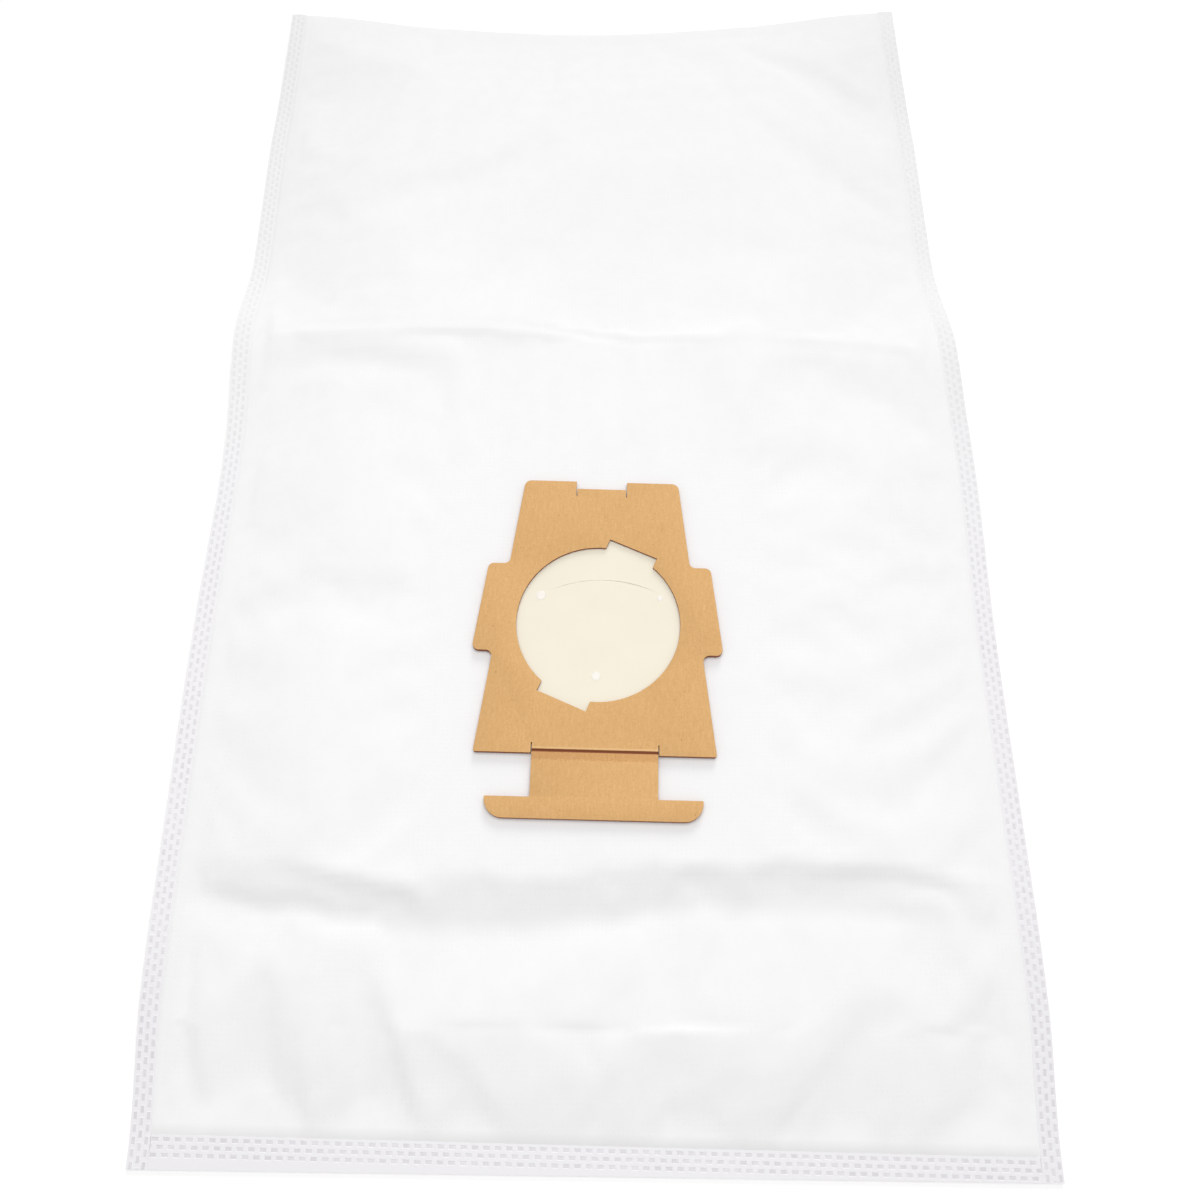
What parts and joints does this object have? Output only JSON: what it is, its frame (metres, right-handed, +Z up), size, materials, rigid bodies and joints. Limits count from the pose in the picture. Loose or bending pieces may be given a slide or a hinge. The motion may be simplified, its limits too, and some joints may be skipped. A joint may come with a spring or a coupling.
{
  "type": "vacuum dust bag",
  "caption": "Flat white cloth vacuum dust bag, folded at the top and welded at the sides and bottom, with a die-cut board collar round a film-valved inlet.",
  "frame": {"origin": "under the middle of the bag, on the surface that it lies on", "axes": "+X across the bag, +Y from the welded bottom to the folded top, +Z up out of the face that carries the collar"},
  "size_m": [0.336, 0.5632, 0.0137],
  "materials": {
    "nonwoven_cloth": "soft white melt-spun nonwoven with fused, dashed weld bands",
    "kraft_board": "uncoated brown kraft board with darker die-cut edges",
    "valve_film": "smooth cream film with one curved slit"
  },
  "bodies": {
    "root": {"bag_body": "nonwoven_cloth", "collar_board": "kraft_board", "valve_film": "valve_film"}
  },
  "joints": []
}
